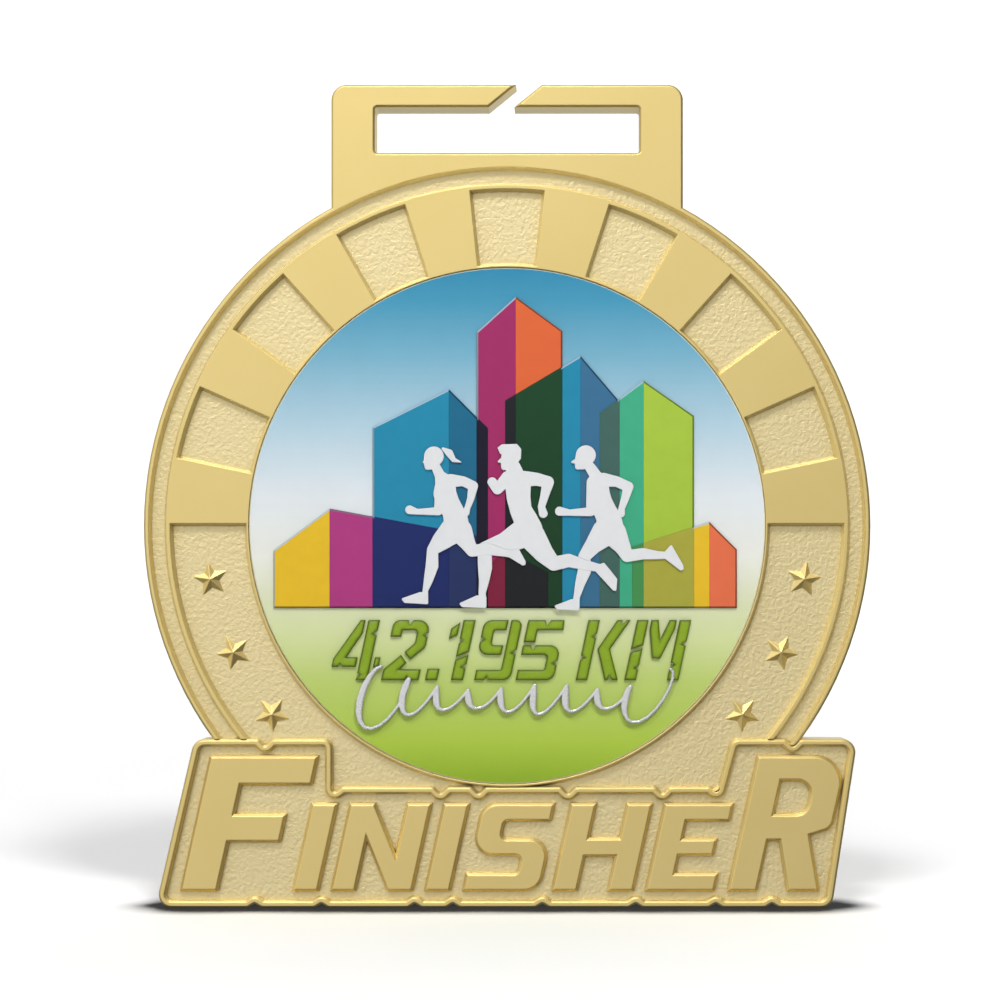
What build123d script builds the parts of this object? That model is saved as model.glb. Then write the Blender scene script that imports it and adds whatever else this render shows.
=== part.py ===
from build123d import *
import math
import os

# Finisher medal: one zinc casting (ring, ribbon hanger and word plaque) with a round
# pocket, a printed disc glued into it, and raised colour fills standing on the disc.
#
# Everything is drawn face-on: x to the right, y up from the centre of the ring, and
# z as the height above the flat back.  place() then stands it up: +Z up, front to -Y.

os.makedirs("parts", exist_ok=True)

# ---- levels above the flat back (mm) ----
POCKET_LEVEL = 1.8
FLOOR_LEVEL = 2.8
TOP_LEVEL = 3.5
FILM_THICKNESS = 0.1
DISC_THICKNESS = 1.55
DISC_TOP = POCKET_LEVEL + FILM_THICKNESS + DISC_THICKNESS
SKYLINE_HEIGHT = 0.35
RUNNER_HEIGHT = 0.55
FIGURE_LEVEL = 0.45
FLOURISH_HEIGHT = 0.55
TOTAL_DEPTH = DISC_TOP + RUNNER_HEIGHT

# ---- ring ----
RING_RADIUS = 38.15
RIM_TOP_INNER = 37.65
RIM_FOOT_INNER = 37.4
RIDGE_OUTER = 35.8
RIDGE_INNER = 35.4
BEZEL_OUTER = 27.35
POCKET_RADIUS = 27.15
DISC_RADIUS = 27.13
DISC_BEVEL = 0.15
EDGE_CHAMFER = 0.2
WALL_DRAFT = 20.0
GROOVE_FLARE = 0.25

# ---- sunburst blocks and stars ----
RAY_PITCH = 12.0
PANEL_COUNT = 7
STAR_CIRCLE = 31.7
STAR_ANGLES = (10.2, 24.8, 38.7)
STAR_TIP = 1.92
STAR_WAIST = 0.92
STAR_HEIGHT = 0.55

# ---- hanger ----
HANGER_HALF_WIDTH = 18.45
HANGER_TOP = 46.3
HANGER_FOOT = 30.0
HANGER_CORNER = 1.6
SLOT_WIDTH = 27.8
SLOT_HEIGHT = 4.8
SLOT_CENTRE = 41.55
SLOT_CORNER = 0.3
SPLIT_WIDTH = 2.7
SPLIT_LEAN = 2.9
SPLIT_CENTRE = 0.85

# ---- plaque ----
PLAQUE_BOTTOM = -40.1
PLAQUE_TALL_TOP = -22.4
PLAQUE_LOW_TOP = -27.4
PLAQUE_RIDGE = 0.75
PLAQUE_CORNER = 1.4
NOTCH_DEPTH = 0.75
NOTCH_HALF_WIDTH = 0.75
FOOT_NOTCH_DEPTH = 0.45
LETTER_CHAMFER = 0.28
LETTER_SLANT = math.tan(math.radians(12.5))
TALL_LETTER = 14.3
LOW_LETTER = 9.3
LOW_LETTER_WIDTH = 1.11
LETTER_BASE = -38.4

# ---- ejector marks on the back ----
EJECTOR_RADIUS = 1.75
EJECTOR_DEPTH = 0.12
EJECTOR_SPOTS = ((-31.0, 8.0), (31.0, 8.0), (0.0, -31.0), (-16.0, 41.5), (16.0, 41.5))


def place(shape):
    """Stand the face-on drawing up in the part's own frame."""
    return Pos(0, TOTAL_DEPTH / 2, -PLAQUE_BOTTOM) * (Rot(90, 0, 0) * shape)


def raised(sketch, bottom, top):
    """Straight prism between two levels."""
    return Pos(0, 0, bottom) * extrude(sketch, amount=top - bottom, dir=(0, 0, 1))


def softened(solid, size):
    """The same prism with its top edges chamfered."""
    return chamfer(solid.edges().group_by(Axis.Z)[-1], size)


def polar(radius, degrees):
    """Point at a radius and an angle from the ring's centre."""
    angle = math.radians(degrees)
    return (radius * math.cos(angle), radius * math.sin(angle))


def outline(corners):
    """Closed face through corner points; a third number rounds that corner."""
    edges = []
    starts = []
    count = len(corners)
    for index, corner in enumerate(corners):
        point = Vector(corner[0], corner[1])
        radius = corner[2] if len(corner) > 2 else 0.0
        if radius == 0.0:
            starts.append((point, point))
            continue
        before = corners[index - 1]
        after = corners[(index + 1) % count]
        to_before = (Vector(before[0], before[1]) - point).normalized()
        to_after = (Vector(after[0], after[1]) - point).normalized()
        half = math.acos(max(-1.0, min(1.0, to_before.dot(to_after)))) / 2
        reach = radius / math.tan(half)
        middle = (to_before + to_after).normalized()
        tip = point + middle * (radius / math.sin(half) - radius)
        first = point + to_before * reach
        last = point + to_after * reach
        edges.append(Edge.make_three_point_arc(first, tip, last))
        starts.append((first, last))
    for index in range(count):
        leave = starts[index][1]
        arrive = starts[(index + 1) % count][0]
        if (arrive - leave).length > 1e-4:
            edges.append(Edge.make_line(leave, arrive))
    return Sketch() + Face(Wire(edges))


def sector(inner, outer, start, end):
    """Annular sector between two radii and two angles in degrees."""
    middle = (start + end) / 2
    edges = [
        Edge.make_line(polar(inner, start), polar(outer, start)),
        Edge.make_three_point_arc(polar(outer, start), polar(outer, middle), polar(outer, end)),
        Edge.make_line(polar(outer, end), polar(inner, end)),
        Edge.make_three_point_arc(polar(inner, end), polar(inner, middle), polar(inner, start)),
    ]
    return Sketch() + Face(Wire(edges))


# ---------------------------------------------------------------- casting

def hanger_sketch():
    half = HANGER_HALF_WIDTH
    return outline([
        (-half, HANGER_FOOT), (half, HANGER_FOOT),
        (half, HANGER_TOP, HANGER_CORNER), (-half, HANGER_TOP, HANGER_CORNER),
    ])


def slot_sketch():
    """Ribbon slot and the slanting split that lets a sewn ribbon loop slide in."""
    half = SLOT_WIDTH / 2
    low = SLOT_CENTRE - SLOT_HEIGHT / 2
    high = SLOT_CENTRE + SLOT_HEIGHT / 2
    slot = outline([
        (-half, low, SLOT_CORNER), (half, low, SLOT_CORNER),
        (half, high, SLOT_CORNER), (-half, high, SLOT_CORNER),
    ])
    lean = SPLIT_LEAN / 2
    left = SPLIT_CENTRE - SPLIT_WIDTH / 2
    right = SPLIT_CENTRE + SPLIT_WIDTH / 2
    overshoot = 1.0
    stretch = lean * (1 + 2 * overshoot / (HANGER_TOP - high))
    split = outline([
        (left - stretch, high - overshoot), (right - stretch, high - overshoot),
        (right + stretch, HANGER_TOP + overshoot), (left + stretch, HANGER_TOP + overshoot),
    ])
    return slot + split


def notch_up(x, level, depth=NOTCH_DEPTH, half=NOTCH_HALF_WIDTH):
    """V notch cut down into a top edge, walked from left to right."""
    return [(x - half, level, 0.5), (x, level - depth, 0.25), (x + half, level, 0.5)]


def notch_down(x, depth=FOOT_NOTCH_DEPTH, half=NOTCH_HALF_WIDTH):
    """V notch cut up into the bottom edge, walked from right to left."""
    level = PLAQUE_BOTTOM
    return [(x + half, level, 0.5), (x, level + depth, 0.2), (x - half, level, 0.5)]


def plaque_sketch():
    """Plaque outline: two tall ends, a low middle, notched between the letters."""
    corners = [(-36.95, PLAQUE_BOTTOM, PLAQUE_CORNER), (-32.85, PLAQUE_TALL_TOP, PLAQUE_CORNER)]
    corners += notch_up(-25.4, PLAQUE_TALL_TOP)
    corners += [(-18.35, PLAQUE_TALL_TOP, 1.0), (-18.35, -28.2, 0.3)]
    corners += [(-17.3, PLAQUE_LOW_TOP, 0.6)]
    for x in (-7.0, -3.0, 6.4, 16.3):
        corners += notch_up(x, PLAQUE_LOW_TOP)
    corners += [(21.3, PLAQUE_LOW_TOP, 0.6), (22.05, -28.1, 0.3), (23.6, PLAQUE_TALL_TOP, 1.0)]
    corners += notch_up(30.0, PLAQUE_TALL_TOP)
    corners += [(36.8, PLAQUE_TALL_TOP, PLAQUE_CORNER), (34.1, PLAQUE_BOTTOM, PLAQUE_CORNER)]
    for x in (27.8, 21.9, 13.5, 3.7, -5.7, -9.7, -19.5, -26.5):
        corners += notch_down(x)
    return outline(corners)


def slanted(corners, x, height, width=1.0):
    """Scale a letter drawn on a unit-high grid, lean it over and set it on the base line."""
    moved = []
    for corner in corners:
        up = corner[1] * height
        across = x + corner[0] * height * width + up * LETTER_SLANT
        rounding = [corner[2] * height] if len(corner) > 2 else []
        moved.append((across, LETTER_BASE + up, *rounding))
    return outline(moved)


LETTER_F = [(0, 0), (0.28, 0), (0.28, 0.36), (0.66, 0.36), (0.66, 0.57), (0.28, 0.57),
            (0.28, 0.78), (0.80, 0.78), (0.80, 1), (0, 1)]
LETTER_I = [(0, 0), (0.27, 0), (0.27, 1), (0, 1)]
LETTER_N = [(0, 0), (0.26, 0), (0.26, 0.57), (0.58, 0), (0.84, 0), (0.84, 1),
            (0.58, 1), (0.58, 0.43), (0.26, 1), (0, 1)]
LETTER_S = [(0, 0), (0.79, 0, 0.22), (0.79, 0.60, 0.20), (0.28, 0.60, 0.05), (0.28, 0.79, 0.05),
            (0.75, 0.79), (0.75, 1), (0.01, 1, 0.22), (0.01, 0.40, 0.20), (0.52, 0.40, 0.05),
            (0.52, 0.21, 0.05), (0, 0.21)]
LETTER_H = [(0, 0), (0.27, 0), (0.27, 0.39), (0.57, 0.39), (0.57, 0), (0.84, 0), (0.84, 1),
            (0.57, 1), (0.57, 0.61), (0.27, 0.61), (0.27, 1), (0, 1)]
LETTER_E = [(0, 0), (0.71, 0), (0.71, 0.21), (0.27, 0.21), (0.27, 0.40), (0.62, 0.40),
            (0.62, 0.60), (0.27, 0.60), (0.27, 0.79), (0.71, 0.79), (0.71, 1), (0, 1)]
LETTER_R = [(0, 0), (0.22, 0), (0.22, 0.37), (0.30, 0.37), (0.44, 0), (0.68, 0), (0.52, 0.41),
            (0.67, 0.46, 0.10), (0.67, 1, 0.20), (0, 1)]
LETTER_R_EYE = [(0.22, 0.57), (0.45, 0.57, 0.09), (0.45, 0.81, 0.09), (0.22, 0.81)]


def word_sketches():
    """The raised word on the plaque, one face per letter."""
    low_letters = [
        (LETTER_I, -22.6), (LETTER_N, -18.6), (LETTER_I, -8.75),
        (LETTER_S, -4.75), (LETTER_H, 4.6), (LETTER_E, 14.45),
    ]
    faces = [slanted(LETTER_F, -34.4, TALL_LETTER)]
    faces += [slanted(shape, x, LOW_LETTER, LOW_LETTER_WIDTH) for shape, x in low_letters]
    faces.append(slanted(LETTER_R, 23.1, TALL_LETTER) - slanted(LETTER_R_EYE, 23.1, TALL_LETTER))
    return faces


def star_solid(radius, degrees):
    """Five-pointed star with a ridge to every tip, turned with the ring."""
    centre = polar(radius, degrees)
    side = 1 if degrees > -90 else -1
    turn = degrees if side > 0 else degrees - 180
    rim = []
    for index in range(10):
        reach = STAR_TIP if index % 2 == 0 else STAR_WAIST
        offset = polar(reach, 90 + turn + 36 * index)
        rim.append(Vector(centre[0] + offset[0], centre[1] + offset[1], FLOOR_LEVEL))
    apex = Vector(centre[0], centre[1], FLOOR_LEVEL + STAR_HEIGHT)
    faces = [Face(Wire.make_polygon(rim, close=True))]
    for index in range(10):
        corner = rim[index]
        following = rim[(index + 1) % 10]
        faces.append(Face(Wire.make_polygon([corner, following, apex], close=True)))
    return Solid(Shell(faces))


def ring_profile():
    """Half section of the ring, turned about its axis: rim, groove, ridge and bezel."""
    return [
        (POCKET_RADIUS, 0), (RING_RADIUS - EDGE_CHAMFER, 0), (RING_RADIUS, EDGE_CHAMFER),
        (RING_RADIUS, TOP_LEVEL - EDGE_CHAMFER), (RING_RADIUS - EDGE_CHAMFER, TOP_LEVEL),
        (RIM_TOP_INNER, TOP_LEVEL), (RIM_FOOT_INNER, FLOOR_LEVEL),
        (RIDGE_OUTER + GROOVE_FLARE, FLOOR_LEVEL), (RIDGE_OUTER, TOP_LEVEL),
        (POCKET_RADIUS, TOP_LEVEL),
    ]


def turned(profile):
    """Solid of revolution about the ring's axis from a (radius, height) profile."""
    wire = Wire.make_polygon([Vector(radius, 0, height) for radius, height in profile], close=True)
    return revolve(Sketch() + Face(wire), Axis.Z, 360)


def panel_cutters():
    """Sunk panels between the sunburst blocks and the sunk star field below them."""
    depth = TOP_LEVEL - FLOOR_LEVEL
    inset = depth * math.tan(math.radians(WALL_DRAFT))
    inner = BEZEL_OUTER + inset
    outer = RIDGE_INNER - inset
    faces = [sector(inner, outer, 180.0, 360.0)]
    for index in range(PANEL_COUNT):
        start = RAY_PITCH * (2 * index + 1)
        faces.append(sector(inner, outer, start, start + RAY_PITCH))
    solids = []
    for face in faces:
        solids.append(Pos(0, 0, FLOOR_LEVEL) * extrude(face, amount=depth, dir=(0, 0, 1), taper=-WALL_DRAFT))
    return solids


def chamfer_hanger(solid):
    """Chamfer the hanger's front and back outlines where they are free edges."""
    picked = []
    for level in (0.0, TOP_LEVEL):
        for edge in solid.edges():
            ends = edge.bounding_box()
            flat = abs(ends.min.Z - level) < 1e-6 and abs(ends.max.Z - level) < 1e-6
            middle = edge.position_at(0.5)
            free = math.hypot(middle.X, middle.Y) > RING_RADIUS
            if flat and free:
                picked.append(edge)
    return chamfer(picked, EDGE_CHAMFER)


def casting():
    """Ring, hanger and plaque in one piece, with every raised and sunk detail."""
    body = turned(ring_profile())
    body += raised(Circle(POCKET_RADIUS + 0.2), 0, POCKET_LEVEL)
    for cutter in panel_cutters():
        body -= cutter
    hanger = raised(hanger_sketch() - Circle(RIM_TOP_INNER), 0, TOP_LEVEL)
    hanger -= raised(slot_sketch(), -1, TOP_LEVEL + 1)
    body += chamfer_hanger(hanger)
    plaque = plaque_sketch()
    field = offset(plaque, amount=-PLAQUE_RIDGE)
    pocket_tool = raised(Circle(POCKET_RADIUS), POCKET_LEVEL, TOP_LEVEL + 1)
    body += raised(plaque, 0, FLOOR_LEVEL)
    body -= raised(plaque, FLOOR_LEVEL, TOP_LEVEL + 1)
    ridge = softened(raised(plaque - field, FLOOR_LEVEL, TOP_LEVEL), EDGE_CHAMFER)
    body += ridge
    body -= pocket_tool
    for face in word_sketches():
        body += softened(raised(face, FLOOR_LEVEL, TOP_LEVEL), LETTER_CHAMFER)
    for angle in STAR_ANGLES:
        body += star_solid(STAR_CIRCLE, -angle)
        body += star_solid(STAR_CIRCLE, angle - 180)
    for x, y in EJECTOR_SPOTS:
        body -= Pos(x, y, 0) * raised(Circle(EJECTOR_RADIUS), 0, EJECTOR_DEPTH)
    return body


# ---------------------------------------------------------------- disc and its film

def insert_film():
    """Double-sided adhesive disc under the printed insert."""
    return raised(Circle(DISC_RADIUS - 0.6), POCKET_LEVEL, POCKET_LEVEL + FILM_THICKNESS)


def centre_disc():
    """Printed insert, its front edge bevelled all round."""
    return softened(raised(Circle(DISC_RADIUS), DISC_TOP - DISC_THICKNESS, DISC_TOP), DISC_BEVEL)


# ---------------------------------------------------------------- skyline

SKYLINE_BASE = -8.65
SKYLINE_CHAMFER = 0.18


def gable(left, left_eaves, peak_x, peak, right, right_eaves):
    """Front of a building with a lopsided pitched roof."""
    return outline([
        (left, SKYLINE_BASE), (right, SKYLINE_BASE),
        (right, right_eaves), (peak_x, peak), (left, left_eaves),
    ])


BUILDINGS = {
    "left_house": gable(-24.5, -2.6, -18.6, 1.8, -3.2, -1.05),
    "teal_tower": gable(-14.1, 10.3, -6.1, 14.3, -2.0, 10.2),
    "tall_tower": gable(-3.2, 20.3, 0.9, 24.0, 5.8, 20.4),
    "blue_tower": gable(-0.2, 13.1, 7.7, 17.8, 11.8, 13.0),
    "green_tower": gable(9.7, 11.8, 14.3, 15.2, 19.6, 11.5),
    "right_house": gable(13.1, -2.2, 21.2, 0.4, 24.1, -2.5),
    "middle_house": gable(-2.0, -4.3, -0.2, -2.5, 4.3, -4.9),
}

# node, buildings it lies in, buildings it keeps out of, left edge, right edge
SKYLINE_FILLS = [
    ("left_house_yellow", ["left_house"], [], -24.5, -18.6),
    ("left_house_magenta", ["left_house"], [], -18.6, -14.1),
    ("left_house_navy", ["left_house", "teal_tower"], [], -14.1, -6.1),
    ("left_house_indigo", ["left_house", "teal_tower"], [], -6.1, -3.2),
    ("teal_tower_bright", ["teal_tower"], ["left_house"], -14.1, -6.1),
    ("teal_tower_shaded", ["teal_tower"], ["left_house"], -6.1, -3.2),
    ("teal_tower_plum", ["teal_tower", "tall_tower"], [], -3.2, -2.0),
    ("tall_tower_magenta", ["tall_tower"], ["teal_tower", "blue_tower", "middle_house"], -3.2, 0.9),
    ("tall_tower_orange", ["tall_tower"], ["blue_tower"], 0.9, 5.8),
    ("tall_tower_charcoal", ["tall_tower", "blue_tower"], ["middle_house"], -0.2, 0.9),
    ("tall_tower_forest", ["tall_tower", "blue_tower"], ["middle_house"], 0.9, 5.8),
    ("blue_tower_bright", ["blue_tower"], [], 5.8, 7.7),
    ("blue_tower_shaded", ["blue_tower"], ["green_tower"], 7.7, 11.8),
    ("blue_tower_slate", ["blue_tower", "green_tower"], [], 9.7, 11.8),
    ("green_tower_sea", ["green_tower"], ["blue_tower", "right_house"], 11.8, 14.3),
    ("green_tower_lime", ["green_tower"], ["right_house"], 14.3, 19.6),
    ("right_house_moss", ["right_house", "green_tower"], [], 13.1, 14.3),
    ("right_house_olive", ["right_house", "green_tower"], [], 14.3, 19.6),
    ("right_house_yellow", ["right_house"], [], 19.6, 21.2),
    ("right_house_orange", ["right_house"], [], 21.2, 24.1),
    ("middle_house_maroon", ["middle_house"], [], -2.0, -0.2),
    ("middle_house_black", ["middle_house"], [], -0.2, 4.3),
]


def skyline_block():
    """The whole raised skyline, bevelled along its outer silhouette only."""
    silhouette = Sketch() + list(BUILDINGS.values())
    return softened(raised(silhouette, DISC_TOP, DISC_TOP + SKYLINE_HEIGHT), SKYLINE_CHAMFER)


def skyline_fill(block, inside, outside, left, right):
    """One colour cell cut from the raised skyline."""
    cell = outline([(left, SKYLINE_BASE), (right, SKYLINE_BASE), (right, 30), (left, 30)])
    for name in inside:
        cell &= BUILDINGS[name]
    for name in outside:
        cell -= BUILDINGS[name]
    return block & raised(cell, DISC_TOP, DISC_TOP + SKYLINE_HEIGHT)


# ---------------------------------------------------------------- runners

def limb(start, end):
    """Tapered bar with round ends; each end is x, y and radius."""
    x, y, r = start
    to_x, to_y, to_r = end
    length = math.hypot(to_x - x, to_y - y)
    heading = math.atan2(to_y - y, to_x - x)
    spread = math.acos((r - to_r) / length)

    def on(cx, cy, radius, angle):
        return (cx + radius * math.cos(angle), cy + radius * math.sin(angle))

    left = heading + spread
    right = heading - spread
    edges = [
        Edge.make_line(on(x, y, r, right), on(to_x, to_y, to_r, right)),
        Edge.make_three_point_arc(on(to_x, to_y, to_r, right), on(to_x, to_y, to_r, heading),
                                  on(to_x, to_y, to_r, left)),
        Edge.make_line(on(to_x, to_y, to_r, left), on(x, y, r, left)),
        Edge.make_three_point_arc(on(x, y, r, left), on(x, y, r, heading + math.pi), on(x, y, r, right)),
    ]
    return Sketch() + Face(Wire(edges))


def stroke(nodes):
    """Chain of limbs through x, y, radius nodes."""
    return [limb(nodes[index], nodes[index + 1]) for index in range(len(nodes) - 1)]


# Each runner: chains of x, y, radius from joint to joint, then outlines for shoes and hair.
RUNNERS = {
    "runner_ponytail": {
        "head": [
            [(-7.65, 7.25, 1.03), (-7.95, 6.65, 0.78), (-8.35, 6.10, 0.26)],
            [(-8.25, 6.85, 0.26), (-8.70, 6.65, 0.12)],
            [(-6.70, 8.05, 0.14), (-6.05, 7.60, 0.40), (-5.60, 6.90, 0.26), (-4.85, 6.65, 0.06)],
        ],
        "body": [
            [(-7.45, 6.15, 0.48), (-7.00, 5.20, 0.56), (-6.45, 4.30, 1.05), (-6.50, 3.35, 1.20),
             (-6.20, 2.40, 1.20), (-5.65, 1.50, 1.12), (-5.35, 0.60, 1.26), (-5.35, -0.45, 1.45)],
        ],
        "arms": [
            [(-5.90, 4.70, 0.70), (-4.60, 4.65, 0.52), (-3.55, 4.15, 0.52), (-3.80, 2.80, 0.38),
             (-4.15, 1.85, 0.31), (-4.30, 1.35, 0.38)],
            [(-6.80, 4.60, 0.70), (-7.20, 1.50, 0.44), (-9.40, 1.45, 0.29), (-10.20, 1.65, 0.46)],
        ],
        "legs": [
            [(-5.70, -0.55, 1.35), (-6.80, -1.55, 1.02), (-7.80, -2.55, 0.58), (-7.85, -4.20, 0.67),
             (-8.20, -5.60, 0.50), (-8.55, -6.80, 0.29), (-8.60, -7.45, 0.33)],
            [(-4.90, -0.55, 1.25), (-4.25, -1.65, 0.86), (-3.65, -2.65, 0.62), (-2.00, -2.45, 0.62),
             (-0.15, -2.90, 0.36), (0.60, -3.00, 0.40)],
        ],
        "outlines": [
            [(-8.25, -8.25, 0.15), (-8.25, -7.05), (-9.10, -6.95, 0.30), (-11.10, -7.65, 0.14),
             (-10.75, -8.10, 0.20)],
            [(0.00, -3.20), (1.65, -4.20, 0.10), (1.95, -4.10, 0.10), (1.95, -3.75, 0.20),
             (1.20, -2.35, 0.15), (0.45, -2.70)],
        ],
    },
    "runner_crop_hair": {
        "head": [
            [(0.45, 7.40, 1.03), (0.20, 6.65, 0.86), (-0.30, 6.10, 0.30)],
            [(-0.50, 6.85, 0.26), (-0.85, 6.70, 0.12)],
        ],
        "body": [
            [(0.65, 6.05, 0.80), (0.95, 5.20, 0.90), (1.15, 4.25, 1.35), (1.20, 3.00, 1.25),
             (1.45, 1.60, 1.14), (1.95, 0.60, 1.25), (2.25, -0.45, 1.48)],
        ],
        "arms": [
            [(1.80, 4.90, 0.82), (3.10, 4.85, 0.68), (4.30, 4.55, 0.62), (3.90, 3.00, 0.44),
             (3.60, 1.95, 0.38), (3.80, 1.25, 0.46)],
            [(0.10, 5.00, 0.72), (-1.00, 3.80, 0.54), (-1.55, 4.55, 0.50)],
        ],
        "legs": [
            [(1.75, -0.80, 1.50), (-0.15, -1.80, 1.10), (-2.35, -2.45, 0.74), (-2.30, -4.40, 0.74),
             (-2.40, -5.75, 0.54), (-2.60, -7.05, 0.38), (-2.55, -7.80, 0.38)],
            [(2.60, -1.15, 1.42), (3.80, -2.85, 1.05), (4.90, -4.00, 0.74), (6.45, -3.65, 0.70),
             (8.25, -4.15, 0.52), (9.70, -4.45, 0.42)],
        ],
        "outlines": [
            [(-1.00, 8.15, 0.12), (-0.75, 7.55, 0.10), (0.20, 7.10), (1.45, 6.90, 0.10), (1.50, 8.00, 0.30),
             (1.05, 8.55, 0.25), (-0.55, 8.50, 0.15)],
            [(-2.15, -8.65, 0.15), (-2.15, -7.45), (-3.15, -7.30, 0.30), (-5.05, -8.15, 0.14),
             (-4.70, -8.55, 0.20)],
            [(9.30, -4.85), (11.10, -6.80, 0.10), (11.45, -6.85, 0.10), (11.55, -5.60, 0.25),
             (10.15, -3.85, 0.20), (9.50, -4.15)],
        ],
    },
    "runner_round_hair": {
        "head": [
            [(8.25, 7.35, 1.05), (7.90, 6.70, 0.82), (7.40, 6.15, 0.28)],
            [(7.25, 6.75, 0.26), (6.85, 6.65, 0.12)],
        ],
        "body": [
            [(8.70, 6.10, 0.55), (9.30, 5.20, 0.62), (9.50, 4.35, 1.12), (9.55, 3.30, 1.22),
             (9.80, 2.40, 1.22), (10.30, 1.45, 1.20), (10.70, 0.60, 1.30), (10.75, -0.45, 1.50)],
        ],
        "arms": [
            [(10.10, 4.80, 0.72), (11.50, 4.60, 0.55), (12.70, 4.05, 0.54), (12.35, 2.80, 0.42),
             (12.00, 1.80, 0.34), (11.95, 1.25, 0.40)],
            [(9.05, 4.50, 0.72), (8.75, 1.45, 0.48), (6.55, 1.35, 0.32), (5.50, 1.50, 0.48)],
        ],
        "legs": [
            [(10.30, -0.70, 1.42), (9.10, -2.00, 0.92), (8.10, -3.25, 0.64), (8.10, -4.75, 0.70),
             (7.65, -6.10, 0.52), (7.30, -7.45, 0.34), (7.20, -8.15, 0.36)],
            [(11.15, -0.80, 1.35), (12.05, -2.15, 0.86), (12.55, -3.20, 0.62), (14.25, -2.95, 0.60),
             (15.80, -3.10, 0.42), (16.75, -3.10, 0.36)],
        ],
        "outlines": [
            [(7.60, -8.90, 0.15), (7.60, -7.75), (6.75, -7.70, 0.30), (4.90, -8.40, 0.14),
             (5.25, -8.80, 0.20)],
            [(16.45, -3.40), (18.20, -4.75, 0.10), (18.50, -4.60, 0.10), (18.45, -4.15, 0.20),
             (17.20, -1.95, 0.15), (16.45, -2.80)],
        ],
    },
}


def runner_sketch(parts):
    """A runner's silhouette: limbs, torso and head from chains, shoes and hair from outlines."""
    pieces = []
    for region in ("head", "body", "arms", "legs"):
        for chain in parts[region]:
            pieces += stroke(chain)
    for corners in parts["outlines"]:
        pieces.append(outline(corners))
    return Sketch() + pieces


# ---------------------------------------------------------------- distance figures

FIGURE_HEIGHT = 6.3
FIGURE_BASE = -16.2
FIGURE_SLANT = math.tan(math.radians(12.0))
FIGURE_CHAMFER = 0.18

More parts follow.
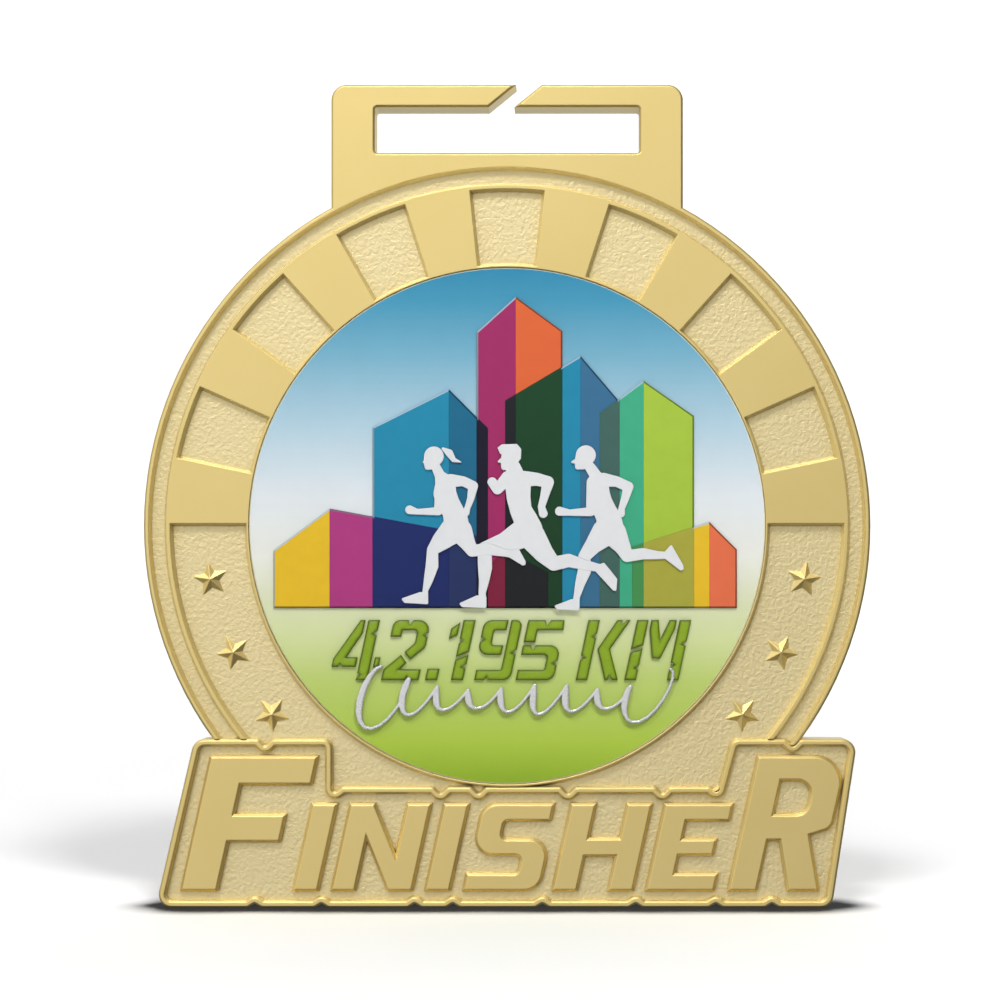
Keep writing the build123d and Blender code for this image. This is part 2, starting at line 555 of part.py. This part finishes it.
# node, left edge on the base line, then strokes and edge nicks on a unit-high grid
FIGURES = [
    ("figure_4", -18.7, [
        [(0, 0.22), (0.40, 0.22), (0.40, 0.38), (0.21, 0.38), (0.40, 0.78), (0.40, 1), (0.32, 1), (0, 0.36)],
        [(0.45, 0), (0.64, 0), (0.64, 1), (0.45, 1)],
        [(0.69, 0.22), (0.78, 0.22), (0.78, 0.38), (0.69, 0.38)],
    ], [
        [(0.66, 0.84), (0.54, 0.77), (0.66, 0.74)],
        [(0.43, 0.13), (0.43, 0.03), (0.53, 0.09)],
        [(0.10, 0.20), (0.19, 0.20), (0.13, 0.29)],
    ]),
    ("figure_2", -13.2, [
        [(0, 0.72), (0.18, 0.72), (0.18, 0.83), (0.43, 0.83, 0.04), (0.43, 0.62, 0.06), (0.29, 0.47),
         (0.41, 0.34), (0.62, 0.55, 0.08), (0.62, 1, 0.16), (0, 1, 0.14)],
        [(0, 0), (0.62, 0), (0.62, 0.18), (0.26, 0.18), (0.36, 0.29), (0.24, 0.42), (0, 0.18)],
    ], [
        [(0.64, 0.80), (0.53, 0.75), (0.64, 0.71)],
        [(0.24, 1.02), (0.28, 0.91), (0.34, 1.02)],
        [(0.38, -0.02), (0.47, -0.02), (0.41, 0.08)],
    ]),
    ("figure_point", -8.6, [
        [(0, 0), (0.20, 0), (0.20, 0.19), (0, 0.19)],
    ], []),
    ("figure_1", -6.7, [
        [(0.13, 0), (0.33, 0), (0.33, 0.42), (0.13, 0.34)],
        [(0.13, 0.39), (0.33, 0.47), (0.33, 1), (0.13, 1)],
        [(-0.05, 0.68), (0.08, 0.75), (0.08, 0.96), (-0.05, 0.86)],
    ], [
        [(0.35, 0.28), (0.23, 0.22), (0.35, 0.18)],
        [(0.11, 0.70), (0.11, 0.60), (0.21, 0.66)],
    ]),
    ("figure_9", -3.7, [
        [(0, 0.42, 0.14), (0.40, 0.42), (0.40, 0.58), (0.20, 0.58, 0.04), (0.20, 0.83, 0.04), (0.40, 0.83),
         (0.40, 1), (0, 1, 0.16)],
        [(0.04, 0), (0.64, 0, 0.16), (0.64, 1, 0.09), (0.45, 1), (0.45, 0.17, 0.05), (0.04, 0.17)],
    ], [
        [(-0.02, 0.72), (-0.02, 0.62), (0.09, 0.68)],
        [(0.66, 0.52), (0.54, 0.45), (0.66, 0.42)],
        [(0.20, -0.02), (0.29, -0.02), (0.23, 0.08)],
    ]),
    ("figure_5", 0.9, [
        [(0, 0.63), (0.19, 0.63), (0.19, 0.83), (0.62, 0.83), (0.60, 1), (0, 1)],
        [(0, 0), (0.63, 0, 0.16), (0.63, 0.58, 0.14), (0, 0.58), (0, 0.42), (0.44, 0.42, 0.05),
         (0.44, 0.17, 0.05), (0, 0.17)],
    ], [
        [(0.28, 1.02), (0.33, 0.91), (0.39, 1.02)],
        [(0.65, 0.34), (0.53, 0.28), (0.65, 0.24)],
        [(0.12, 0.60), (0.18, 0.50), (0.22, 0.60)],
    ]),
    ("letter_k", 7.2, [
        [(0, 0), (0.19, 0), (0.19, 1), (0, 1)],
        [(0.25, 0.52, 0.03), (0.48, 0), (0.70, 0), (0.46, 0.52, 0.05), (0.70, 1), (0.48, 1)],
    ], [
        [(-0.02, 0.42), (-0.02, 0.32), (0.09, 0.38)],
        [(0.21, 0.78), (0.11, 0.73), (0.21, 0.69)],
        [(0.57, 1.02), (0.56, 0.90), (0.65, 1.02)],
        [(0.52, -0.02), (0.62, -0.02), (0.54, 0.09)],
    ]),
    ("letter_m", 12.3, [
        [(0, 0), (0.19, 0), (0.19, 0.53), (0, 0.46)],
        [(0, 0.51), (0.19, 0.58), (0.19, 1), (0, 1)],
        [(0.24, 1), (0.24, 0.84), (0.38, 0.36), (0.52, 0.36), (0.66, 0.84), (0.66, 1), (0.54, 1),
         (0.45, 0.68), (0.36, 1)],
        [(0.71, 0), (0.90, 0), (0.90, 1), (0.71, 1)],
    ], [
        [(0.21, 0.26), (0.10, 0.20), (0.21, 0.17)],
        [(0.92, 0.66), (0.80, 0.60), (0.92, 0.56)],
        [(0.69, 0.30), (0.69, 0.20), (0.80, 0.26)],
    ]),
]


def on_base_line(corners, left):
    """Scale grid corners to the figures' height, lean them over and set them on the base line."""
    leant = []
    for corner in corners:
        up = corner[1] * FIGURE_HEIGHT
        across = left + corner[0] * FIGURE_HEIGHT + up * FIGURE_SLANT
        rounding = [corner[2] * FIGURE_HEIGHT] if len(corner) > 2 else []
        leant.append((across, FIGURE_BASE + up, *rounding))
    return outline(leant)


def figure_solid(left, strokes, nicks):
    """One stencilled figure: bevelled strokes with worn nicks in their edges."""
    cutters = [raised(on_base_line(corners, left), DISC_TOP, DISC_TOP + 1) for corners in nicks]
    solids = []
    for corners in strokes:
        prism = raised(on_base_line(corners, left), DISC_TOP, DISC_TOP + FIGURE_LEVEL)
        solid = softened(prism, FIGURE_CHAMFER)
        for cutter in cutters:
            solid -= cutter
        solids.append(solid)
    return solids


# ---------------------------------------------------------------- silver flourish

FLOURISH_START = (-14.6, -18.2)
FLOURISH_LENGTH = 30.4
FLOURISH_WAVES = 9
FLOURISH_STEPS = 16
FLOURISH_SWING = 1.25
FLOURISH_LOOP = 0.42
FLOURISH_LILT = 0.25
FLOURISH_SLANT = 0.42
THIN_RADIUS = 0.15
THICK_RADIUS = 0.36


def flourish_nodes():
    """Pen path of a slanting wave, taller at both ends and heavier on the way down."""
    nodes = []
    total = FLOURISH_WAVES * FLOURISH_STEPS
    for step in range(total + 1):
        share = step / total
        phase = 2 * math.pi * FLOURISH_WAVES * share
        opening = math.exp(-(share / 0.10) ** 2)
        closing = math.exp(-((1 - share) / 0.09) ** 2)
        lilt = 1 + FLOURISH_LILT * math.sin(13.0 * share)
        rise = (FLOURISH_SWING * lilt + 2.2 * opening + 1.8 * closing) * math.cos(phase)
        loop = (FLOURISH_LOOP + 1.3 * opening + 1.1 * closing) * math.sin(phase)
        x = FLOURISH_START[0] + FLOURISH_LENGTH * share + FLOURISH_SLANT * rise - loop
        y = FLOURISH_START[1] + rise
        press = max(0.0, math.sin(phase)) ** 2
        nodes.append((x, y, THIN_RADIUS + (THICK_RADIUS - THIN_RADIUS) * press))
    return nodes


def flourish_solid():
    """The pen stroke as one raised bead."""
    sketch = Sketch() + stroke(flourish_nodes())
    return raised(sketch, DISC_TOP, DISC_TOP + FLOURISH_HEIGHT)


# ---------------------------------------------------------------- every node to its own file

def save(shape, name):
    """Write one node, stood up in the part's frame."""
    placed = [place(solid) for solid in shape] if isinstance(shape, list) else [place(shape)]
    solids = [solid for item in placed for solid in item.solids()]
    node = solids[0] if len(solids) == 1 else Compound(children=solids)
    node.label = name
    export_step(node, f"parts/{name}.step")


def main():
    save(casting(), "medal_casting")
    save(insert_film(), "insert_adhesive_film")
    save(centre_disc(), "centre_disc")
    block = skyline_block()
    for name, inside, outside, left, right in SKYLINE_FILLS:
        save(skyline_fill(block, inside, outside, left, right), f"skyline_{name}")
    taken = block
    for name, parts in RUNNERS.items():
        prism = raised(runner_sketch(parts), DISC_TOP, DISC_TOP + RUNNER_HEIGHT)
        save(prism - taken, name)
        taken += prism
    flourish = flourish_solid()
    for name, left, strokes, nicks in FIGURES:
        solids = figure_solid(left, strokes, nicks)
        for solid in solids:
            flourish -= solid
        save(solids, name)
    save(flourish, "silver_flourish")


main()
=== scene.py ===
import math
import bpy
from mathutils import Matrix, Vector

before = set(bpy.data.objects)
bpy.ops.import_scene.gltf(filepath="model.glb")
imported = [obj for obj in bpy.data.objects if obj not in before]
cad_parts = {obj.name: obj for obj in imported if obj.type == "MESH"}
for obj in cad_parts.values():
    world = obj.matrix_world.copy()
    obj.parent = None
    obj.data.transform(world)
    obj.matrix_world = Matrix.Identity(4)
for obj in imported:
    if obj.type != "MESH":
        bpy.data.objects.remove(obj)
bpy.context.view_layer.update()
scene = bpy.context.scene
MM = 0.001

# ---- places in the frame (m) ----
RING_CENTRE = 40.1 * MM
DISC_RADIUS = 27.13 * MM
SUNK_FLOOR = -0.8 * MM
SUNK_FLOOR_MARGIN = 0.12 * MM
SKYLINE_FOOT = 31.4 * MM
SKYLINE_TOP = 64.0 * MM
MEDAL_MIDDLE = Vector((0.0, 0.0, 0.042))

# ---- camera: almost square to the front, a little below the ring's centre ----
CAMERA_DISTANCE = 0.222
PICTURE_PLANE = -0.0014
VIEW_WIDTH = 0.10496
EYE = Vector((0.0062, PICTURE_PLANE - CAMERA_DISTANCE, 0.0336))
AIM = Vector((-0.00075, 0.0, 0.0428))

# ---- paper backdrop (m) ----
PAPER_HALF_WIDTH = 3.0
PAPER_FRONT = -2.5
PAPER_FLAT_TO = 0.7
PAPER_CURVE = 0.5
PAPER_HEIGHT = 3.0
CURVE_STEPS = 12

# ---- colour ----
INK_STRENGTH = 0.81
WHITE = (1.0, 1.0, 1.0, 1.0)


def linear(red, green, blue):
    """The linear colour a shader takes, from 0-255 display values."""
    levels = []
    for value in (red, green, blue):
        share = value / 255.0
        levels.append(share / 12.92 if share <= 0.04045 else ((share + 0.055) / 1.055) ** 2.4)
    return (*levels, 1.0)


def ink(red, green, blue):
    """A printed colour, a little deeper than it shows under the studio lights."""
    return (*[INK_STRENGTH * level for level in linear(red, green, blue)[:3]], 1.0)


class Graph:
    """A node tree built node by node."""

    def __init__(self, tree):
        self.tree = tree

    def node(self, kind):
        return self.tree.nodes.new(kind)

    def link(self, value, socket):
        """Feed a socket from another node's output or from a plain value."""
        if isinstance(value, bpy.types.NodeSocket):
            self.tree.links.new(value, socket)
        else:
            socket.default_value = value

    def maths(self, operation, *values):
        node = self.node("ShaderNodeMath")
        node.operation = operation
        for index, value in enumerate(values):
            self.link(value, node.inputs[index])
        return node.outputs[0]

    def spread(self, value, low, high, to_low, to_high):
        """Rescale a value from one range to another."""
        node = self.node("ShaderNodeMapRange")
        for index, item in enumerate((value, low, high, to_low, to_high)):
            self.link(item, node.inputs[index])
        return node.outputs[0]

    def along(self, vector, direction):
        """How far a vector points in a direction."""
        node = self.node("ShaderNodeVectorMath")
        node.operation = "DOT_PRODUCT"
        self.link(vector, node.inputs[0])
        self.link(direction, node.inputs[1])
        return node.outputs["Value"]


class Surface(Graph):
    """A material's tree; positions are object coordinates in metres."""

    def __init__(self, material):
        material.use_nodes = True
        super().__init__(material.node_tree)
        self.tree.nodes.clear()
        self.shader = self.node("ShaderNodeBsdfPrincipled")
        output = self.node("ShaderNodeOutputMaterial")
        self.link(self.shader.outputs["BSDF"], output.inputs["Surface"])
        self.where = self.node("ShaderNodeTexCoord").outputs["Object"]

    def axes(self, vector):
        """The X, Y and Z sockets of a vector."""
        node = self.node("ShaderNodeSeparateXYZ")
        self.link(vector, node.inputs[0])
        return node.outputs

    def facing(self):
        """The X, Y and Z sockets of the way the surface faces."""
        return self.axes(self.node("ShaderNodeNewGeometry").outputs["Normal"])

    def noise(self, grain_mm, detail=2.0, distortion=0.0):
        """Noise whose grains are about this many millimetres across."""
        node = self.node("ShaderNodeTexNoise")
        self.link(self.where, node.inputs["Vector"])
        node.inputs["Scale"].default_value = 1.0 / (grain_mm * MM)
        node.inputs["Detail"].default_value = detail
        node.inputs["Distortion"].default_value = distortion
        return node.outputs["Fac"]

    def blend(self, share, first, second, mode="MIX"):
        node = self.node("ShaderNodeMix")
        node.data_type = "RGBA"
        node.blend_type = mode
        self.link(share, node.inputs[0])
        self.link(first, node.inputs[6])
        self.link(second, node.inputs[7])
        return node.outputs[2]

    def ramp(self, value, stops):
        """Colour ramp through (position, colour) stops."""
        node = self.node("ShaderNodeValToRGB")
        self.link(value, node.inputs[0])
        elements = node.color_ramp.elements
        while len(elements) < len(stops):
            elements.new(0.5)
        for element, (position, colour) in zip(elements, stops):
            element.position = position
            element.color = colour
        return node.outputs["Color"]

    def rounded(self, radius_mm):
        """Normal with the edges rounded over."""
        node = self.node("ShaderNodeBevel")
        node.samples = 6
        node.inputs["Radius"].default_value = radius_mm * MM
        return node.outputs[0]

    def openness(self, reach_mm, samples=8):
        """1 in the open, falling to 0 in creases."""
        node = self.node("ShaderNodeAmbientOcclusion")
        node.samples = samples
        node.inputs["Distance"].default_value = reach_mm * MM
        return node.outputs["AO"]

    def bump(self, height, depth_mm, strength, normal):
        node = self.node("ShaderNodeBump")
        node.inputs["Strength"].default_value = strength
        node.inputs["Distance"].default_value = depth_mm * MM
        self.link(height, node.inputs["Height"])
        self.link(normal, node.inputs["Normal"])
        return node.outputs[0]

    def finish(self, colour, roughness, normal, metallic=0.0, coat=0.0, specular=0.5):
        sockets = self.shader.inputs
        self.link(colour, sockets["Base Color"])
        self.link(roughness, sockets["Roughness"])
        self.link(normal, sockets["Normal"])
        sockets["Metallic"].default_value = metallic
        sockets["Coat Weight"].default_value = coat
        sockets["Coat Roughness"].default_value = 0.12
        sockets["Specular IOR Level"].default_value = specular


# ---------------------------------------------------------------- materials

def paint_gold():
    """Satin gold plate, with a wrinkled skin on the sunk floors, painted shade in its creases
    and narrow sunk floors, and a painted highlight on its steep walls.
    """
    gold = Surface(bpy.data.materials["gold_casting"])
    depth = gold.axes(gold.where)["Y"]
    facing = gold.facing()["Y"]
    at_floor = gold.maths("COMPARE", depth, SUNK_FLOOR, SUNK_FLOOR_MARGIN)
    sunk = gold.maths("MULTIPLY", at_floor, gold.maths("LESS_THAN", facing, -0.97))
    wrinkles = gold.noise(0.42, 2.5, 0.5)
    satin = gold.noise(0.07, 1.0)
    clouds = gold.noise(9.0, 3.0)
    plain = gold.blend(clouds, linear(243, 218, 143), linear(249, 226, 155))
    stippled = gold.blend(wrinkles, linear(246, 227, 172), linear(255, 241, 193))
    colour = gold.blend(sunk, plain, stippled)
    # painted highlight: the steep side walls are painted paler gold, standing in for the light
    # they catch
    wall_highlight = gold.spread(facing, -0.60, -0.40, 0.0, 1.0)
    colour = gold.blend(wall_highlight, colour, linear(250, 236, 188))
    # painted shade: narrow sunk floors are darkened where little light reaches them
    shade = gold.maths("MULTIPLY", gold.spread(gold.openness(1.6), 0.55, 0.95, 0.30, 0.0), sunk)
    colour = gold.blend(shade, colour, linear(196, 172, 104))
    # painted shade: darker gold in the creases at the foot of each ridge
    crease_shade = gold.spread(gold.openness(0.35), 0.25, 0.75, 0.70, 0.0)
    colour = gold.blend(crease_shade, colour, linear(134, 118, 66))
    height = gold.maths("MULTIPLY", wrinkles, sunk)
    skin = gold.bump(height, 0.17, 0.45, gold.rounded(0.14))
    skin = gold.bump(satin, 0.012, 0.35, skin)
    rougher = gold.maths("MULTIPLY", sunk, 0.10)
    roughness = gold.maths("ADD", gold.spread(satin, 0.3, 0.7, 0.42, 0.52), rougher)
    gold.finish(colour, roughness, skin, metallic=1.0)


def paint_disc():
    """Sky fading down into grass under a clear satin coat."""
    disc = Surface(bpy.data.materials["disc_print"])
    height = disc.axes(disc.where)["Z"]
    share = disc.spread(height, RING_CENTRE - DISC_RADIUS, RING_CENTRE + DISC_RADIUS, 0.0, 1.0)
    stops = [
        (0.00, ink(138, 172, 28)),
        (0.08, ink(170, 198, 63)),
        (0.20, ink(186, 206, 110)),
        (0.28, ink(208, 219, 156)),
        (0.35, ink(216, 221, 182)),
        (0.44, ink(232, 233, 224)),
        (0.56, ink(222, 229, 234)),
        (0.69, ink(178, 207, 222)),
        (0.83, ink(117, 175, 200)),
        (0.93, ink(69, 151, 184)),
        (1.00, ink(46, 136, 174)),
    ]
    colour = disc.ramp(share, stops)
    mottle = disc.spread(disc.noise(2.5, 3.0), 0.3, 0.7, 0.0, 0.10)
    colour = disc.blend(mottle, colour, linear(228, 228, 228), "MULTIPLY")
    reach = disc.maths("POWER", disc.axes(disc.where)["X"], 2.0)
    rise = disc.maths("POWER", disc.maths("SUBTRACT", height, RING_CENTRE), 2.0)
    radius = disc.maths("SQRT", disc.maths("ADD", reach, rise))
    bevel = disc.spread(radius, DISC_RADIUS - 0.18 * MM, DISC_RADIUS - 0.10 * MM, 0.0, 0.8)
    colour = disc.blend(bevel, colour, linear(240, 232, 196))
    speckle = disc.noise(0.12, 1.0)
    roughness = disc.spread(speckle, 0.3, 0.7, 0.34, 0.44)
    skin = disc.bump(speckle, 0.01, 0.25, disc.rounded(0.15))
    disc.finish(colour, roughness, skin, coat=0.1, specular=0.3)


# slot, colour at the top of the skyline, colour at its foot
RESINS = {
    "resin_yellow": ((232, 194, 52), (226, 184, 42)),
    "resin_pink_magenta": ((178, 64, 132), (170, 58, 124)),
    "resin_navy": ((35, 48, 110), (30, 43, 98)),
    "resin_indigo": ((44, 60, 112), (38, 50, 92)),
    "resin_teal": ((40, 141, 176), (37, 132, 165)),
    "resin_deep_teal": ((34, 109, 143), (32, 99, 132)),
    "resin_plum": ((32, 28, 47), (28, 24, 40)),
    "resin_magenta": ((162, 50, 104), (156, 42, 96)),
    "resin_orange": ((223, 106, 62), (219, 98, 55)),
    "resin_charcoal": ((36, 38, 44), (28, 30, 34)),
    "resin_forest": ((31, 72, 44), (26, 60, 36)),
    "resin_blue": ((39, 139, 174), (36, 132, 166)),
    "resin_steel_blue": ((62, 114, 152), (56, 106, 138)),
    "resin_slate_green": ((70, 106, 100), (64, 98, 90)),
    "resin_sea_green": ((70, 176, 138), (62, 166, 128)),
    "resin_lime": ((170, 200, 72), (160, 190, 62)),
    "resin_moss": ((76, 148, 86), (68, 138, 78)),
    "resin_olive": ((172, 170, 68), (165, 162, 64)),
    "resin_coral": ((230, 120, 82), (224, 110, 74)),
    "resin_maroon": ((132, 40, 66), (122, 32, 58)),
    "resin_black": ((37, 38, 42), (30, 32, 34)),
}


def paint_resin(slot, top, foot):
    """Satin colour fill: a faint fade, cloudy pigment, orange-peel skin, painted shade on its
    sloped sides and a painted highlight on those facing up and left.
    """
    resin = Surface(bpy.data.materials[slot])
    height = resin.axes(resin.where)["Z"]
    share = resin.spread(height, SKYLINE_FOOT, SKYLINE_TOP, 0.0, 1.0)
    colour = resin.blend(share, ink(*foot), ink(*top))
    clouds = resin.spread(resin.noise(1.4, 3.0), 0.3, 0.7, 0.0, 0.12)
    colour = resin.blend(clouds, colour, linear(205, 205, 205), "MULTIPLY")
    facing = resin.facing()
    # painted shade: the sloped sides of each fill are darkened
    sides = resin.spread(facing["Y"], -0.95, -0.80, 0.0, 0.75)
    colour = resin.blend(sides, colour, linear(110, 110, 116), "MULTIPLY")
    # painted highlight: the sloped sides facing up and left, toward the light, are paler
    up_and_left = resin.maths("SUBTRACT", facing["Z"], facing["X"])
    lit = resin.maths("MULTIPLY", sides, resin.spread(up_and_left, 0.50, 0.80, 0.0, 0.8))
    colour = resin.blend(lit, colour, linear(186, 212, 226))
    peel = resin.noise(0.16, 1.0)
    skin = resin.bump(peel, 0.012, 0.3, resin.rounded(0.12))
    resin.finish(colour, resin.spread(peel, 0.3, 0.7, 0.40, 0.52), skin, specular=0.16)


def paint_white():
    """Chalky white ink, with painted shade making it greyer where it meets the fills."""
    white = Surface(bpy.data.materials["resin_white"])
    clouds = white.noise(0.9, 3.0)
    colour = white.blend(clouds, linear(198, 200, 203), linear(206, 207, 209))
    # painted shade: greyer in the creases where the white meets the fills
    crease_shade = white.spread(white.openness(0.4), 0.4, 0.9, 0.35, 0.0)
    colour = white.blend(crease_shade, colour, linear(120, 122, 130))
    peel = white.noise(0.14, 1.0)
    skin = white.bump(peel, 0.012, 0.3, white.rounded(0.14))
    white.finish(colour, white.spread(peel, 0.3, 0.7, 0.46, 0.58), skin)


def paint_green():
    """Thick glossy green ink, with painted shade darker down its sides."""
    green = Surface(bpy.data.materials["resin_green"])
    clouds = green.noise(1.1, 3.0)
    puffed = green.rounded(0.55)
    colour = green.blend(clouds, linear(110, 138, 6), linear(130, 156, 14))
    # painted shade: darker green where the puffed sides turn away from the front
    side_shade = green.spread(green.axes(puffed)["Y"], -0.97, -0.70, 0.0, 0.9)
    colour = green.blend(side_shade, colour, linear(66, 84, 4))
    peel = green.noise(0.18, 2.0)
    skin = green.bump(peel, 0.02, 0.3, puffed)
    green.finish(colour, green.spread(peel, 0.3, 0.7, 0.26, 0.38), skin, coat=0.15, specular=0.4)


def paint_silver():
    """Bright bead of silver ink, with painted shade darker in its creases."""
    silver = Surface(bpy.data.materials["silver_bead"])
    clouds = silver.noise(0.5, 3.0)
    colour = silver.blend(clouds, linear(208, 209, 208), linear(230, 230, 230))
    # painted shade: dark grey in the creases around the bead
    crease_shade = silver.spread(silver.openness(0.5), 0.3, 0.9, 0.7, 0.0)
    colour = silver.blend(crease_shade, colour, linear(92, 94, 96))
    grain = silver.noise(0.1, 1.0)
    skin = silver.bump(grain, 0.012, 0.35, silver.rounded(0.28))
    silver.finish(colour, silver.spread(grain, 0.3, 0.7, 0.20, 0.34), skin, metallic=0.75)


def paint_adhesive():
    """Milky double-sided film."""
    film = Surface(bpy.data.materials["adhesive"])
    clouds = film.noise(1.5, 3.0)
    colour = film.blend(clouds, linear(214, 210, 196), linear(228, 226, 214))
    grain = film.noise(0.2, 1.0)
    skin = film.bump(grain, 0.01, 0.3, film.rounded(0.05))
    film.finish(colour, film.spread(grain, 0.3, 0.7, 0.5, 0.65), skin)


# ---------------------------------------------------------------- studio

def paint_backdrop():
    """White paper with a painted contact shadow where the medal touches it, glowing more and
    more away from it.
    """
    paper = Surface(bpy.data.materials.new("backdrop_paper"))
    clouds = paper.noise(40.0, 2.0)
    colour = paper.blend(clouds, linear(252, 252, 252), linear(255, 255, 255))
    # painted shadow: the paper goes nearly black where the medal touches it
    contact_shadow = paper.spread(paper.openness(5.8, 24), 0.80, 0.985, 1.0, 0.0)
    colour = paper.blend(contact_shadow, colour, linear(18, 18, 20))
    paper.finish(colour, 0.9, paper.rounded(0.01), specular=0.1)
    paper.shader.inputs["Emission Color"].default_value = WHITE
    distance = paper.node("ShaderNodeVectorMath")
    distance.operation = "LENGTH"
    paper.link(paper.where, distance.inputs[0])
    glow = paper.spread(distance.outputs["Value"], 0.06, 0.7, 0.03, 0.55)
    paper.link(glow, paper.shader.inputs["Emission Strength"])


def make_backdrop():
    """Paper flat under the medal, curving up into a wall far behind it."""
    profile = [(PAPER_FRONT, 0.0), (PAPER_FLAT_TO, 0.0)]
    for step in range(1, CURVE_STEPS + 1):
        turn = math.radians(90.0 * step / CURVE_STEPS)
        y = PAPER_FLAT_TO + PAPER_CURVE * math.sin(turn)
        z = PAPER_CURVE - PAPER_CURVE * math.cos(turn)
        profile.append((y, z))
    profile.append((PAPER_FLAT_TO + PAPER_CURVE, PAPER_HEIGHT))
    verts = []
    for y, z in profile:
        verts += [(-PAPER_HALF_WIDTH, y, z), (PAPER_HALF_WIDTH, y, z)]
    faces = [(i, i + 1, i + 3, i + 2) for i in range(0, len(verts) - 2, 2)]
    mesh = bpy.data.meshes.new("backdrop")
    mesh.from_pydata(verts, [], faces)
    mesh.polygons.foreach_set("use_smooth", [True] * len(faces))
    mesh.materials.append(bpy.data.materials["backdrop_paper"])
    backdrop = bpy.data.objects.new("backdrop", mesh)
    backdrop.visible_glossy = False
    scene.collection.objects.link(backdrop)


def make_light(name, location, size, watts, glossy=True):
    """Soft square light aimed at the medal; without glossy it leaves no sheen on the metal."""
    data = bpy.data.lights.new(name, "AREA")
    data.size = size
    data.energy = watts
    light = bpy.data.objects.new(name, data)
    light.location = location
    toward = MEDAL_MIDDLE - light.location
    light.rotation_euler = toward.to_track_quat("-Z", "Y").to_euler()
    light.visible_glossy = glossy
    scene.collection.objects.link(light)


def make_world():
    """White surround, brightest up and to the left in front, dim low on the right.

    Its soft light is weaker than its sheen, so the shadows on the medal stay deep, and a
    second glow behind shows only as sheen on the plain back.
    """
    world = bpy.data.worlds.new("studio")
    scene.world = world
    world.use_nodes = True
    sky = Graph(world.node_tree)
    looked_in = sky.node("ShaderNodeTexCoord").outputs["Generated"]
    rays = sky.node("ShaderNodeLightPath").outputs
    front = sky.spread(sky.along(looked_in, (-0.44, -0.72, 0.54)), 0.1, 1.0, 0.10, 1.04)
    behind = sky.spread(sky.along(looked_in, (0.15, 0.95, 0.28)), 0.3, 1.0, 0.10, 0.85)
    softer = sky.maths("MULTIPLY_ADD", rays["Is Diffuse Ray"], -0.78, 1.0)
    first_bounce = sky.maths("LESS_THAN", rays["Diffuse Depth"], 0.5)
    as_sheen = sky.maths("MULTIPLY", rays["Is Glossy Ray"], first_bounce)
    behind = sky.maths("MULTIPLY", behind, as_sheen)
    level = sky.maths("MAXIMUM", sky.maths("MULTIPLY", front, softer), behind)
    strength = sky.maths("MAXIMUM", level, rays["Is Camera Ray"])
    background = sky.tree.nodes["Background"]
    background.inputs["Color"].default_value = WHITE
    sky.link(strength, background.inputs["Strength"])


def make_camera():
    """Level camera in front; its shift brings the medal into the picture."""
    data = bpy.data.cameras.new("camera")
    data.sensor_width = 36.0
    data.lens = 36.0 * CAMERA_DISTANCE / VIEW_WIDTH
    data.shift_x = (AIM.x - EYE.x) / VIEW_WIDTH
    data.shift_y = (AIM.z - EYE.z) / VIEW_WIDTH
    data.clip_start = 0.01
    data.clip_end = 20.0
    camera = bpy.data.objects.new("camera", data)
    camera.location = EYE
    camera.rotation_euler = (math.radians(90.0), 0.0, 0.0)
    scene.collection.objects.link(camera)
    scene.camera = camera


paint_gold()
paint_disc()
for slot, (top, foot) in RESINS.items():
    paint_resin(slot, top, foot)
paint_white()
paint_green()
paint_silver()
paint_adhesive()
paint_backdrop()
make_backdrop()
make_light("key", (-0.12, -0.49, 0.71), 0.16, 2.65)
make_light("fill", (0.28, -0.61, 0.63), 0.16, 4.1, glossy=False)
make_world()
make_camera()
scene.view_settings.view_transform = "Standard"
